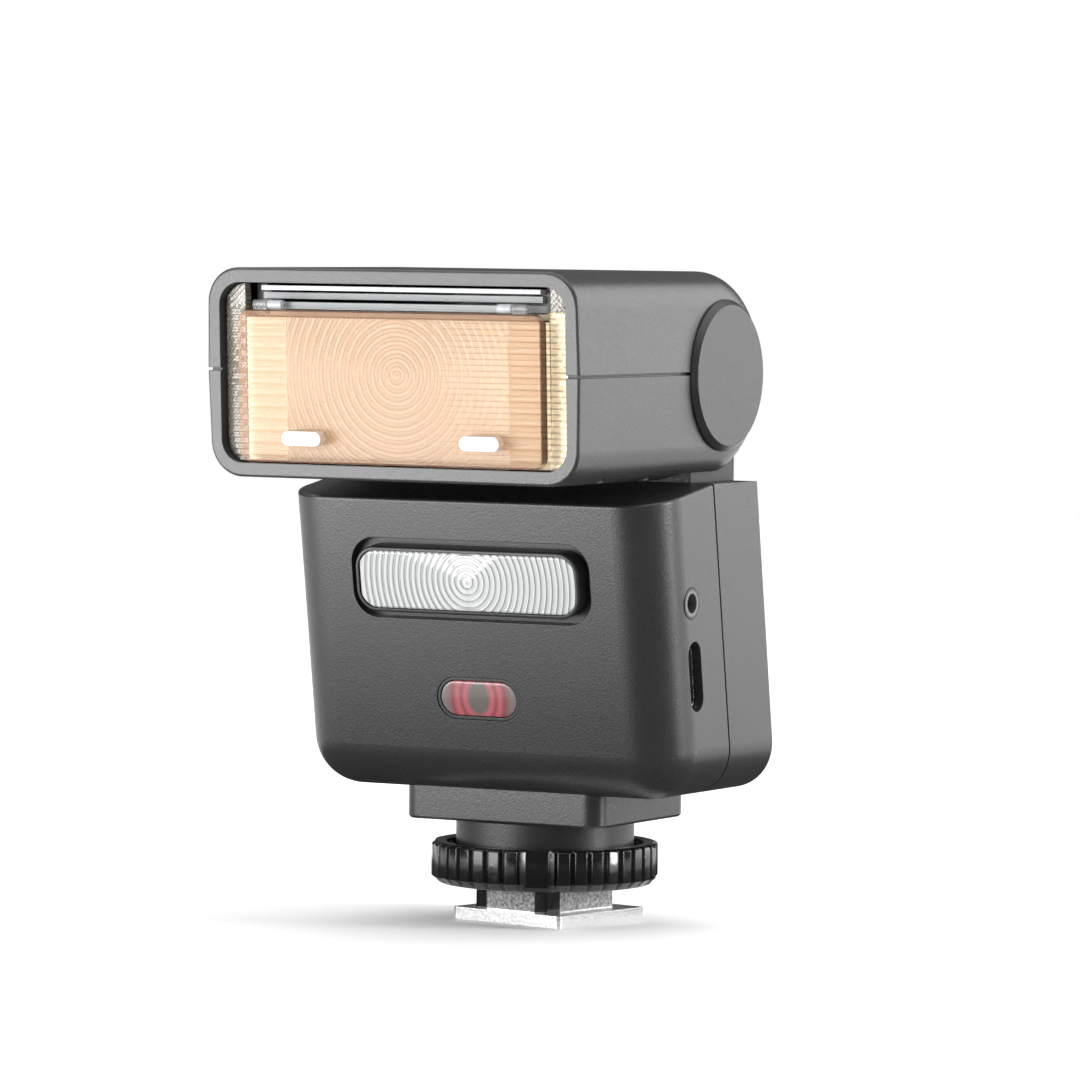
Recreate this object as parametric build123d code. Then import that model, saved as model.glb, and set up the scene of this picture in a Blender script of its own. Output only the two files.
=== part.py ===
from build123d import *
import os
from math import cos, radians, sin, tan

# Compact camera-top flash unit, modelled piece by piece in millimetres.
# Frame: the origin is the centre of the shoe foot's underside, on the axis of the lock wheel.
# +Z is up, -Y is the side that the light leaves by, and +X is the side with the two sockets.

os.makedirs("parts", exist_ok=True)

# ---- shoe foot, lock wheel and swivel -------------------------------------------------------
FOOT_W, FOOT_L, FOOT_T = 18.6, 18.0, 1.9      # standard accessory-shoe foot
FOOT_BACK = 0.9                               # foot plate centre lies this far behind the axis
FOOT_YAW = -11.0                              # body is turned this far on its swivel
STEM_W, STEM_L, STEM_TOP = 12.4, 14.0, 6.6
HUB_R = 8.6                                   # round hub that the lock wheel turns on
WHEEL_R, WHEEL_LOW, WHEEL_HIGH = 15.3, 5.3, 10.9
WHEEL_WEB = (6.9, 9.3)                        # heights of the wheel's inner web
COLLAR_R, COLLAR_LOW = 11.95, 9.4
SPIGOT_R, SPIGOT_BORE, WIRE_R = 6.5, 4.5, 1.6
COLLAR_FLOOR = 12.6                           # floor of the collar bore, under the screw heads
PEDESTAL_W, PEDESTAL_D, PEDESTAL_LOW = 29.8, 25.1, 14.1
RIM_LOW, RIM_HIGH = 6.2, 10.3                 # straight part of the wheel's rim
RIM_BORE_TOP, RIM_BORE_LOW = 13.2, 12.9       # radii of the recesses above and below the web
GRIPS, GRIPS_PER_QUARTER, GRIP_START = 40, 10, -65
GRIP_CUT, QUARTER_CUT = (1.1, 0.62, 5.2), (1.6, 2.9, 5.2)
CLAMP_R, CLAMP_LOW, CLAMP_HIGH = 12.6, 5.45, 6.45
SPIGOT_TOP = 17.6
KEEPER_R, KEEPER_LOW, KEEPER_HIGH = 9.2, 16.1, 17.5
INSULATOR_TOP = 5.0

# ---- body -----------------------------------------------------------------------------------
LEAN = 9.0                                    # front and rear faces lean forward at the top
FACE_Y, FACE_Z = -21.0, 46.4                  # a point on the front face
BODY_DEPTH = 29.25                            # front to rear at one height
BODY_HALF = 28.4
BODY_LOW, BODY_HIGH = 18.35, 59.75
DECK_FRONT_Z = 57.2
BODY_CORNER = 6.8
WALL = 1.6
PARTING_DEPTH = 16.15                         # casing joint behind the front face
GROOVE = 0.35                                 # casing joint's groove
FIT = 0.05                                    # play between a piece and its seat, per side
PAST = 3.0                                    # how far a cutter reaches past a skin
NEAR = 0.01                                   # edges this close to a level count as on it
FINE_ROUND = 0.3                              # rounds on keys and buttons

# ---- light panel, aiming window and controls: width, height, corner radius ---------------------
LED_Z, AF_Z = 46.6, 30.95
LED_OPENING, LED_FRAME, LED_FRAME_TOP = (35.8, 10.8, 3.6), (33.6, 8.8, 3.0), 1.14
LED_POCKET, LED_LENS, LED_APERTURE = (32.6, 7.8, 2.5), (32.5, 7.7, 2.45), (30.0, 5.8, 1.8)
LED_SEAT, LED_LENS_TOP = -0.7, 1.05
LED_TRAY, LED_TRAY_BORE, LED_BOARD = (38.6, 13.2, 4.4), (34.6, 9.2, 2.4), (34.4, 9.0, 2.3)
LED_BOARD_TOP, EMITTER, EMITTER_STEP = -4.4, (2.8, 2.8, 0.3), 5.5
AF_OPENING, AF_RIM = (12.5, 5.7, 2.84), (12.4, 5.6, 2.79)
AF_BORE, AF_WINDOW = (11.6, 4.8, 2.39), (11.5, 4.7, 2.34)
DIAL_LOW, DIAL_TOP, DIAL_NOTCHES, NOTCH = -2.0, 1.3, 36, (0.6, 0.5, 1.6)
SET_LOW, SET_TOP = -1.6, 0.9
KEY_LOW, KEY_TOP = -1.6, 0.7

# ---- head -----------------------------------------------------------------------------------
TILT_Y, TILT_Z = -2.3, 73.85                  # tilt axis, along X
HEAD_R = 13.6                                 # round back of the head
HEAD_HALF = 27.6                              # half width at the head's parting line
HEAD_SPLIT = 74.2
HEAD_CORNER = 4.6
DRAFT_UP, DRAFT_DOWN = 1.2, 1.7
BEZEL_Y, BEZEL_LEAN = -42.2, 2.9              # bezel plane at the parting line
MOUTH_HALF, MOUTH_LOW, MOUTH_HIGH = 25.6, 62.1, 85.5
DRUM_R, DRUM_HALF = 12.2, 24.9
NECK_FRONT, NECK_BACK = -6.7, 5.6
CHEEK_INNER = 25.15
CAP_R, CAP_OUT = 9.95, 28.4
BUSH_R, BUSH_SEAT, BUSH_BORE = 5.0, 6.0, 3.4
CHEEK_FACE = HEAD_HALF - 0.6                  # seat of the caps, just under the cheek's skin
EAR_INNER = 22.5                              # inner face of the neck's ears
HEAD_GROOVE, HEAD_GROOVE_DEPTH = 0.4, 0.5     # groove along the head's parting line
SPAN = 40.0                                   # half length of cutters that pass through the head
REFLECTOR_Z, REFLECTOR_HALF, REFLECTOR_WALL = 71.6, 20.8, 0.7
TUBE_R, TUBE_Y, TUBE_HALF = 1.7, -26.6, 22.4

# ---- panels in the head's mouth ---------------------------------------------------------------
PANEL_HALF = 20.7
PANEL_FRONT, PANEL_BACK = -39.6, -14.2
CARRIER_Z, DIFFUSER_Z, CARD_Z = (82.15, 83.05), (83.45, 84.25), (84.55, 85.15)
FILTER_W, FILTER_LOW, FILTER_HIGH, FILTER_T = 44.9, 62.35, 82.0, 1.4
HINGE_Z = 82.7                                # filter hinge height, in the filter's own plane
GRIP_PAD = (5.95, 1.95, 0.96)
GRIP_PAD_X, GRIP_PAD_RISE = 13.2, 3.1
KNUCKLE_R, HINGE_PIN_R, HINGE_BORE_R = 0.62, 0.3, 0.33
KNUCKLE, LUG = (16.0, 18.0), (18.2, 20.2)     # limits along X of the hinge's two halves
TRAY_HALF, TRAY_FRONT, TRAY_BACK = 22.3, -38.6, -14.0

# ---- working planes -------------------------------------------------------------------------
BODY_FACE = Plane(
    origin=(0, FACE_Y, FACE_Z), x_dir=(1, 0, 0), z_dir=(0, -cos(radians(LEAN)), -sin(radians(LEAN)))
)
BODY_REAR = Plane(
    origin=(0, FACE_Y + BODY_DEPTH, FACE_Z), x_dir=(-1, 0, 0),
    z_dir=(0, cos(radians(LEAN)), sin(radians(LEAN)))
)
SIDE = Plane(origin=(BODY_HALF, 0, 0), x_dir=(0, 1, 0), z_dir=(1, 0, 0))
FRONT = Plane(origin=(0, 0, 0), x_dir=(1, 0, 0), z_dir=(0, -1, 0))
TILT = Plane(origin=(0, TILT_Y, TILT_Z), x_dir=(0, 1, 0), z_dir=(1, 0, 0))
BEZEL = Plane(
    origin=(0, BEZEL_Y, HEAD_SPLIT), x_dir=(1, 0, 0),
    z_dir=(0, -cos(radians(BEZEL_LEAN)), -sin(radians(BEZEL_LEAN)))
)
SHOE = Plane(origin=(0, 0, 0), x_dir=(cos(radians(FOOT_YAW)), sin(radians(FOOT_YAW)), 0), z_dir=(0, 0, 1))
THICK = BODY_DEPTH * cos(radians(LEAN))       # body thickness square to its faces


def block(x, y, z):
    """Box between pairs of limits along X, Y and Z."""
    sizes = [high - low for low, high in (x, y, z)]
    middle = [(high + low) / 2 for low, high in (x, y, z)]
    return Pos(*middle) * Box(*sizes)


def disc(plane, radius, low, high, x=0, y=0):
    """Cylinder on a working plane, between two heights above it."""
    return plane * Pos(x, y, (low + high) / 2) * Cylinder(radius, high - low)


def ring(plane, outer, inner, low, high, x=0, y=0):
    """Tube on a working plane."""
    return disc(plane, outer, low, high, x, y) - disc(plane, inner, low, high, x, y)


def pad(plane, width, height, radius, low, high, x=0, y=0):
    """Slab with rounded corners on a working plane, between two heights above it."""
    outline = Pos(x, y, low) * RectangleRounded(width, height, radius)
    return plane * extrude(outline, high - low)


def prism(plane, points, low, high):
    """Straight-sided prism on a working plane."""
    face = make_face(Polyline(*points, close=True))
    return plane * extrude(Pos(0, 0, low) * face, high - low)


def edges_at(shape, plane, level):
    """Edges of a shape whose middles lie at one height above a plane."""
    return [e for e in shape.edges() if abs(plane.to_local_coords(e.center()).Z - level) < NEAR]


def screw(plane, x, y, seat, shank_r, length, head_r, head_h):
    """Pan-head screw whose head sits on height seat and whose shank points down the plane's normal."""
    shank = disc(plane, shank_r, seat - length, seat, x, y)
    return shank + disc(plane, head_r, seat, seat + head_h, x, y)


def group(shapes):
    """Separate solids that share one node."""
    return Compound(children=list(shapes))


def write(name, shape):
    """Export one node."""
    export_step(shape, f"parts/{name}.step")


def face_y(z):
    """Y of the body's front face at height z."""
    return FACE_Y - (z - FACE_Z) * tan(radians(LEAN))


# ---- body shells ------------------------------------------------------------------------------
def body_block(inset=0.0):
    """Outer form of the body, or the same form shrunk by inset on every side."""
    top_front = (face_y(DECK_FRONT_Z), DECK_FRONT_Z)
    crease = (face_y(BODY_HIGH) + PARTING_DEPTH / cos(radians(LEAN)), BODY_HIGH)
    top_rear = (face_y(BODY_HIGH) + BODY_DEPTH, BODY_HIGH)
    low_rear = (face_y(BODY_LOW) + BODY_DEPTH, BODY_LOW)
    low_front = (face_y(BODY_LOW), BODY_LOW)
    face = make_face(Polyline(low_front, top_front, crease, top_rear, low_rear, close=True))
    if inset:
        face = offset(face, -inset, kind=Kind.INTERSECTION)
    form = extrude(Plane.YZ * face, BODY_HALF - inset, both=True)
    upright = Vector(0, -sin(radians(LEAN)), cos(radians(LEAN)))
    soft = [
        e for e in form.edges()
        if (abs((e % 0.5).dot(upright)) > 0.999 and e.center().Y < -12)
        or (abs((e % 0.5).Y) > 0.999 and e.center().Z < 25)
        or (abs((e % 0.5).X) > 0.999 and e.center().Z < 25 and e.center().Y < -10)
    ]
    return fillet(soft, BODY_CORNER - inset)


def rounded_body():
    """Body form with its fine edge rounds."""
    form = body_block()
    form = fillet(edges_at(form, BODY_REAR, 0), 0.8)
    crease_y = face_y(BODY_HIGH) + PARTING_DEPTH / cos(radians(LEAN))
    deck = [e for e in form.edges() if e.center().Z > DECK_FRONT_Z - 0.2 and e.center().Y < crease_y - 0.5]
    return fillet(deck, 0.4)


def behind(depth, thickness=60):
    """Slab parallel to the body's front face that starts depth behind it."""
    return BODY_FACE * Pos(0, 0, -depth - thickness / 2) * Box(120, 120, thickness)


BODY = rounded_body()
CAVITY = body_block(WALL)
PEDESTAL_HOLE = block((-11.0, 11.0), (-9.0, 9.0), (BODY_LOW - 1, BODY_LOW + 3))
CASING_SCREWS = [(x, y) for x in (-24.4, 24.4) for y in (10.0, -21.0)]
BOSS_R, SCREW_R = 2.1, 0.9
JACK_Y, JACK_Z, JACK_R = -12.65, 44.35, 2.05
USB_Y, USB_Z, USB_W, USB_H = -11.2, 34.7, 9.3, 3.4
USB_PLANE = SIDE * Pos(USB_Y, USB_Z, 0) * Rot(0, 0, LEAN)
LED_Y = (LED_Z - FACE_Z) / cos(radians(LEAN))
AF_Y = (AF_Z - FACE_Z) / cos(radians(LEAN))
NECK_ROOT = block((-22.5, 22.5), (-4.8, 3.3), (56.2, BODY_HIGH))


def casing_screws():
    """Four long screws through the rear casing into bosses of the front casing."""
    return [screw(BODY_REAR, -x, y, -1.4, SCREW_R, 16.0, 1.7, 1.0) for x, y in CASING_SCREWS]


def bosses(low, high):
    """Screw bosses of the casing, given as depths behind the front face."""
    posts = disc(BODY_FACE, BOSS_R, -high, -low, *CASING_SCREWS[0])
    for x, y in CASING_SCREWS[1:]:
        posts += disc(BODY_FACE, BOSS_R, -high, -low, x, y)
    return posts


def front_casing():
    """Front half of the body: light window, aiming window and the two sockets."""
    shell = (BODY - CAVITY) - behind(PARTING_DEPTH)
    shell += bosses(WALL / 2, PARTING_DEPTH) & BODY
    shell -= behind(PARTING_DEPTH - GROOVE, GROOVE + 1) - body_block(GROOVE)
    shell -= pad(BODY_FACE, *LED_OPENING, -PAST, PAST, y=LED_Y)
    shell -= pad(BODY_FACE, *AF_OPENING, -PAST, PAST, y=AF_Y)
    shell -= disc(SIDE, JACK_R + FIT, -4, PAST, JACK_Y, JACK_Z)
    shell -= USB_PLANE * extrude(Pos(0, 0, -4) * RectangleRounded(USB_H, USB_W, USB_H / 2 - 0.01), 6)
    shell -= PEDESTAL_HOLE
    for part in casing_screws():
        shell -= part
    return shell


DISPLAY_W, DISPLAY_H, DISPLAY_Y = 37.0, 15.5, 3.2
DIAL_Y, DIAL_R, SET_R = -14.2, 8.6, 4.4
BUTTON_X, BUTTON_W, BUTTON_H = 18.4, 8.4, 4.6
BUTTONS = {"mode_button": (-1, -9.6), "menu_button": (1, -9.6), "test_button": (1, -18.6)}
SWITCH_X, SWITCH_Y, SWITCH_TRAVEL = -17.6, -18.6, 3.2


def rear_casing():
    """Rear half of the body: display, dial and buttons."""
    shell = (BODY - CAVITY) & behind(PARTING_DEPTH)
    shell += (bosses(PARTING_DEPTH, THICK - WALL / 2)) & BODY
    shell -= PEDESTAL_HOLE
    shell -= block((-22.55, 22.55), (-4.85, 3.35), (56, 61))
    shell -= pad(BODY_REAR, DISPLAY_W, DISPLAY_H, 1.6, -PAST, PAST, y=DISPLAY_Y)
    shell -= disc(BODY_REAR, DIAL_R + 2 * FIT, -PAST, PAST, 0, DIAL_Y)
    for side, y in BUTTONS.values():
        shell -= pad(BODY_REAR, BUTTON_W + 4 * FIT, BUTTON_H + 4 * FIT, 1.5, -PAST, PAST, side * BUTTON_X, y)
    shell -= pad(BODY_REAR, 3.2 + SWITCH_TRAVEL, 2.4, 1.1, -PAST, PAST, SWITCH_X, SWITCH_Y)
    for x, y in CASING_SCREWS:
        shell -= disc(BODY_REAR, 1.8, -1.4, 2, -x, y)
    for part in casing_screws() + neck_screws():
        shell -= part
    return shell


# ---- light panel, aiming lamp and sockets on the body -----------------------------------------
def led_pieces():
    """Continuous light: black tray, frame, ribbed lens and the board with its emitters."""
    tray = pad(BODY_FACE, *LED_TRAY, -5.6, -WALL, y=LED_Y)
    tray -= pad(BODY_FACE, *LED_TRAY_BORE, -5.6, -2.6, y=LED_Y)
    tray -= pad(BODY_FACE, *LED_APERTURE, -PAST, 0, y=LED_Y)
    frame = pad(BODY_FACE, *LED_FRAME, -WALL, LED_FRAME_TOP, y=LED_Y)
    frame = fillet(edges_at(frame, BODY_FACE, LED_FRAME_TOP), 0.35)
    frame -= pad(BODY_FACE, *LED_POCKET, LED_SEAT, PAST, y=LED_Y)
    frame -= pad(BODY_FACE, *LED_APERTURE, -PAST, 0, y=LED_Y)
    lens = pad(BODY_FACE, *LED_LENS, LED_SEAT, LED_LENS_TOP, y=LED_Y)
    board = pad(BODY_FACE, *LED_BOARD, LED_BOARD_TOP - 1.0, LED_BOARD_TOP, y=LED_Y)
    spots = [step * EMITTER_STEP for step in (-2, -1, 0, 1, 2)]
    emitters = [pad(BODY_FACE, *EMITTER, LED_BOARD_TOP, LED_BOARD_TOP + 0.7, x=x, y=LED_Y) for x in spots]
    return {
        "led_tray": tray, "led_frame": frame, "led_lens": lens,
        "led_board": board, "led_emitters": group(emitters),
    }


def aiming_pieces():
    """Focus-assist lamp: dark rim, red window and the lamp on its small board."""
    rim = pad(BODY_FACE, *AF_RIM, -2.6, -0.12, y=AF_Y)
    rim -= pad(BODY_FACE, *AF_BORE, -PAST, PAST, y=AF_Y)
    window = pad(BODY_FACE, *AF_WINDOW, -2.2, -FIT, y=AF_Y)
    lamp = disc(BODY_FACE, 1.5, -5.2, -3.0, 0, AF_Y)
    lamp += pad(BODY_FACE, 9.0, 6.0, 0.4, -6.2, -5.2, y=AF_Y)
    return {"af_bezel": rim, "af_window": window, "af_lamp": lamp}


def socket_pieces():
    """Sync jack, charging socket and the board that both stand on."""
    jack = disc(SIDE, JACK_R, -1.8, 0.05, JACK_Y, JACK_Z)
    jack += SIDE * Pos(JACK_Y, JACK_Z, -6.9) * Rot(0, 0, LEAN) * Box(4.4, 5.4, 9.0)
    jack += disc(SIDE, 1.9, -2.6, -1.7, JACK_Y, JACK_Z)
    jack -= disc(SIDE, 1.3, -11.0, 1, JACK_Y, JACK_Z)
    shell = USB_PLANE * extrude(Pos(0, 0, -9.4) * RectangleRounded(3.2, 8.94, 1.58), 8.2)
    shell -= USB_PLANE * extrude(Pos(0, 0, -8.4) * RectangleRounded(2.56, 8.34, 1.27), 8)
    tongue = USB_PLANE * Pos(0, 0, -5.85) * Box(0.7, 6.7, 5.1)
    board = BODY_FACE * Pos(19.8, -6.6, -10.85) * Box(11.4, 20.8, 0.8)
    jack -= board
    return {"sync_jack": jack, "usb_socket": shell, "usb_tongue": tongue, "port_board": board}


def inner_pieces():
    """What fills the body: battery, storage capacitor and main board."""
    battery = pad(BODY_FACE, 20.4, 26.0, 2.0, -19.4, -7.2, x=-11.4, y=-8.5)
    capacitor = BODY_FACE * Pos(6.8, -8.5, -13.6) * Rot(90, 0, 0) * Cylinder(7.1, 27.0)
    main_board = pad(BODY_FACE, 44.0, 30.0, 1.0, -23.2, -22.0, y=-9.5)
    return {"battery_pack": battery, "flash_capacitor": capacitor, "main_board": main_board}


def control_pieces():
    """Display, dial, buttons and the power slider on the back."""
    window = pad(BODY_REAR, DISPLAY_W - 2 * FIT, DISPLAY_H - 2 * FIT, 1.55, -1.3, 0.1, y=DISPLAY_Y)
    panel = pad(BODY_REAR, 34.0, 13.0, 0.4, -3.2, -1.3, y=DISPLAY_Y)
    dial = disc(BODY_REAR, DIAL_R, DIAL_LOW, DIAL_TOP, 0, DIAL_Y)
    dial = chamfer(edges_at(dial, BODY_REAR, DIAL_TOP), 0.4)
    for step in range(DIAL_NOTCHES):
        turn = Rot(0, 0, step * 360 / DIAL_NOTCHES)
        dial -= BODY_REAR * Pos(0, DIAL_Y, 0.9) * turn * Pos(DIAL_R, 0, 0) * Box(*NOTCH)
    dial -= disc(BODY_REAR, SET_R + 2 * FIT, -PAST, PAST, 0, DIAL_Y)
    set_button = disc(BODY_REAR, SET_R, SET_LOW, SET_TOP, 0, DIAL_Y)
    set_button = fillet(edges_at(set_button, BODY_REAR, SET_TOP), FINE_ROUND)
    encoder = ring(BODY_REAR, 8.2, 2.0, -4.2, DIAL_LOW - FIT, 0, DIAL_Y)
    pieces = {
        "display_window": window, "display_panel": panel, "control_dial": dial,
        "set_button": set_button, "dial_encoder": encoder,
    }
    for name, (side, y) in BUTTONS.items():
        key = pad(BODY_REAR, BUTTON_W, BUTTON_H, 1.4, KEY_LOW, KEY_TOP, side * BUTTON_X, y)
        pieces[name] = fillet(edges_at(key, BODY_REAR, KEY_TOP), FINE_ROUND)
    off_x = SWITCH_X - SWITCH_TRAVEL / 2
    slider = pad(BODY_REAR, 3.0, 2.2, 1.0, -1.8, 1.0, off_x, SWITCH_Y)
    slider += pad(BODY_REAR, 4.6, 4.0, 1.0, -2.3, -1.7, off_x, SWITCH_Y)
    pieces["power_switch"] = slider
    return pieces


# ---- neck and hinge ---------------------------------------------------------------------------
def neck_screws():
    """Four short screws from inside the body into the neck's ears."""
    under = Plane(origin=(0, 0, BODY_HIGH - WALL), x_dir=(1, 0, 0), z_dir=(0, 0, -1))
    return [screw(under, x, y, 0, 0.7, 5.0, 1.1, 1.0) for x in (-23.7, 23.7) for y in (-1.6, 3.2)]


def neck_drum():
    """Hollow neck and the drum that closes the back of the head."""
    drum = disc(TILT, DRUM_R, -DRUM_HALF, DRUM_HALF)
    drum += block((-DRUM_HALF, DRUM_HALF), (NECK_FRONT, NECK_BACK), (BODY_HIGH, TILT_Z))
    drum += NECK_ROOT
    drum -= disc(TILT, DRUM_R - 1.5, -EAR_INNER, EAR_INNER)
    drum -= block((-EAR_INNER, EAR_INNER), (NECK_FRONT + WALL, NECK_BACK - WALL), (BODY_HIGH + 2, TILT_Z))
    drum -= block((-20.9, 20.9), (-3.2, 1.7), (50, TILT_Z))
    drum -= disc(TILT, BUSH_R + FIT, -SPAN, SPAN)
    for part in neck_screws():
        drum -= part
    return drum


def hinge_bush(side):
    """Hollow flanged bush: fixed in a cheek, turning in an ear of the neck."""
    bush = disc(TILT, BUSH_R, 21.0, CHEEK_INNER) + disc(TILT, BUSH_SEAT, CHEEK_INNER, CHEEK_FACE)
    bush -= disc(TILT, BUSH_BORE, 0, SPAN)
    return bush if side > 0 else mirror(bush, Plane.YZ)


def hinge_cap(side):
    """Round cover over the end of the tilt axis."""
    cap = disc(TILT, CAP_R, CHEEK_FACE, CAP_OUT)
    cap = chamfer(edges_at(cap, TILT, CAP_OUT), 0.7)
    cap += disc(TILT, BUSH_BORE - FIT, 23.5, CHEEK_FACE)
    return cap if side > 0 else mirror(cap, Plane.YZ)


def hinge_washers():
    """Thin friction washers between the ears and the cheeks."""
    washer = ring(TILT, 9.0, BUSH_R + 0.1, DRUM_HALF, DRUM_HALF + 0.15)
    return [washer, mirror(washer, Plane.YZ)]


# ---- head shells ------------------------------------------------------------------------------
def bezel_y(z):
    """Y of the bezel plane at height z."""
    return BEZEL_Y - (z - HEAD_SPLIT) * tan(radians(BEZEL_LEAN))


def head_half(top):
    """Outer form of the upper or lower half of the head, with drafted sides and round back."""
    edge_z = TILT_Z + HEAD_R if top else TILT_Z - HEAD_R
    inset = abs(edge_z - HEAD_SPLIT) * tan(radians(DRAFT_UP if top else DRAFT_DOWN))
    ends = [(HEAD_HALF, HEAD_SPLIT), (HEAD_HALF - inset, edge_z)]
    mirrored = [(-x, z) for x, z in reversed(ends)]
    front = prism(Plane.XZ, ends + mirrored, -2 * SPAN, 2 * SPAN)
    bezel = [(bezel_y(HEAD_SPLIT), HEAD_SPLIT), (bezel_y(edge_z), edge_z)]
    side = prism(Plane.YZ, bezel + [(TILT_Y, edge_z), (TILT_Y, HEAD_SPLIT)], -SPAN, SPAN)
    back = block((-SPAN, SPAN), (TILT_Y, SPAN), sorted((HEAD_SPLIT, edge_z)))
    side += disc(TILT, HEAD_R, -SPAN, SPAN) & back
    form = front & side
    form = fillet(side_edges(form, edge_z), HEAD_CORNER)
    rim = [e for e in edges_at(form, BEZEL, 0) if abs(e.center().Z - HEAD_SPLIT) > NEAR]
    return fillet(rim, 0.4)


def side_edges(form, edge_z):
    """Edges where the sides of a head half meet its flat and round surfaces."""
    chosen = []
    for edge in form.edges():
        middle = edge @ 0.5
        along = edge % 0.5
        if abs(middle.X) < 25 or abs(middle.Z - HEAD_SPLIT) < NEAR:
            continue
        if abs(middle.Z - edge_z) < NEAR or (middle.Y > TILT_Y and abs(along.X) < 0.5):
            chosen.append(edge)
    return chosen


def under_step():
    """Material taken off under the back of the head, so that it clears the body."""
    lift = 61.2
    front, bend = -14.0, -1.3
    tool = block((-SPAN, SPAN), (front, 16.0), (58.0, TILT_Z - 0.05))
    kept = [(front, 60.25), (-9.65, lift), (bend, lift), (bend, 75), (front, 75)]
    tool -= prism(Plane.YZ, kept, -SPAN - 1, SPAN + 1)
    tool -= Plane.YZ * Pos(bend, TILT_Z, 0) * Cylinder(TILT_Z - lift, 2 * SPAN + 2)
    return tool


def neck_sweep():
    """Wedge that the neck passes through as the head tilts, seen from the head."""
    reach, inner = 22.0, CHEEK_INNER
    angles = [-113, -80, -45, -10, 15, 42]
    rim = [(reach * cos(radians(a)), reach * sin(radians(a))) for a in angles]
    return prism(TILT, [(0, 0)] + rim, -inner, inner)


def head_cavity():
    """Everything hollow inside the head."""
    middle, height = (MOUTH_HIGH + MOUTH_LOW) / 2, MOUTH_HIGH - MOUTH_LOW
    mouth = pad(FRONT, 2 * MOUTH_HALF, height, 3.0, 13.5, 50, y=middle)
    return mouth + disc(TILT, DRUM_R + 0.2, -CHEEK_INNER, CHEEK_INNER) + neck_sweep()


HEAD_SCREWS = [(x, y) for x in (-23.75, 23.75) for y in (-18.5, -31.0)]
HEAD_BOSS_R = 1.7


def head_screws():
    """Four screws from below that hold the two head shells together."""
    under = Plane(origin=(0, 0, TILT_Z - HEAD_R), x_dir=(1, 0, 0), z_dir=(0, 0, -1))
    return [screw(under, x, -y, -1.5, 0.7, 18.0, 1.3, 0.9) for x, y in HEAD_SCREWS]


def head_posts(low, high):
    """Screw posts inside the head shells."""
    posts = [disc(Plane.XY, HEAD_BOSS_R, low, high, x, y) for x, y in HEAD_SCREWS]
    return posts[0] + posts[1] + posts[2] + posts[3]


def parting_groove():
    """Fine groove round the head along its parting line."""
    levels = (HEAD_SPLIT - HEAD_GROOVE / 2, HEAD_SPLIT + HEAD_GROOVE / 2)
    half = HEAD_HALF - HEAD_GROOVE_DEPTH
    depth = (BEZEL_Y + HEAD_GROOVE_DEPTH, TILT_Y + HEAD_R - HEAD_GROOVE_DEPTH)
    return block((-SPAN, SPAN), (-2 * SPAN, SPAN), levels) - block((-half, half), depth, (60, 90))


def head_shell(top):
    """Upper or lower shell of the head."""
    shell = head_half(top)
    if not top:
        shell -= under_step()
    shell -= head_cavity()
    shell += head_posts(HEAD_SPLIT, MOUTH_HIGH + 0.5) if top else head_posts(MOUTH_LOW - 0.5, HEAD_SPLIT)
    shell -= parting_groove()
    shell -= disc(TILT, BUSH_SEAT, -CHEEK_FACE, CHEEK_FACE)
    for side in (1, -1):
        shell -= hinge_cap(side)
    for x, y in HEAD_SCREWS:
        shell -= disc(Plane.XY, 1.4, 58, TILT_Z - HEAD_R + 1.5, x, y)
    for part in head_screws():
        shell -= part
    return shell


# ---- optics and panels in the head -------------------------------------------------------------
def optic_pieces():
    """Ribbed front lens, reflector trough, flash tube and trigger board."""
    low = MOUTH_LOW - HEAD_SPLIT
    high = MOUTH_HIGH - HEAD_SPLIT - 0.2
    lens = pad(BEZEL, 2 * MOUTH_HALF - 0.2, high - low, 2.9, -2.9, -1.5, y=(high + low) / 2)
    lens -= block((-22.6, 22.6), (-60, 0), (81.1, 90))
    mid_z, deep, half_h = REFLECTOR_Z, -23.0, 8.6
    outer = [(-38.4, mid_z - half_h), (-38.4, mid_z + half_h), (-30, mid_z + 8.2), (-25, mid_z + 6.0),
             (deep, mid_z + 2.6), (deep, mid_z - 2.6), (-25, mid_z - 6.0), (-30, mid_z - 8.2)]
    lip = half_h - REFLECTOR_WALL
    inner = [(-39, mid_z - lip), (-39, mid_z + lip), (-30, mid_z + 7.4), (-25.5, mid_z + 5.4),
             (deep - 0.8, mid_z + 2.3), (deep - 0.8, mid_z - 2.3), (-25.5, mid_z - 5.4), (-30, mid_z - 7.4)]
    half = REFLECTOR_HALF - REFLECTOR_WALL
    reflector = prism(Plane.YZ, outer, -REFLECTOR_HALF, REFLECTOR_HALF) - prism(Plane.YZ, inner, -half, half)
    axis = Plane(origin=(0, TUBE_Y, mid_z), x_dir=(0, 1, 0), z_dir=(1, 0, 0))
    reflector -= disc(axis, TUBE_R + FIT, -SPAN, SPAN)
    tube = disc(axis, TUBE_R, -TUBE_HALF, TUBE_HALF)
    board = block((-19, 19), (-21.8, -20.6), (64.5, 79.5))
    return {
        "fresnel_lens": lens, "reflector": reflector, "flash_tube": tube, "trigger_board": board,
    }


def panel_tray():
    """Guide for the three pull-out panels, under the roof of the head."""
    tray = block((-TRAY_HALF, TRAY_HALF), (TRAY_FRONT, TRAY_BACK), (81.2, 85.35))
    slot = PANEL_HALF + 2 * FIT
    tray -= block((-slot, slot), (TRAY_FRONT - PAST, TRAY_BACK + PAST), (82.0, 86))
    for low, high in ((83.1, 83.35), (84.3, 84.5)):
        for side in (-1, 1):
            tray += block(sorted((side * 20.1, side * (slot + FIT))), (TRAY_FRONT, TRAY_BACK), (low, high))
    for x, y in HEAD_SCREWS:
        tray -= disc(Plane.XY, HEAD_BOSS_R + 0.02, 60, 90, x, y)
    return tray


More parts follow.
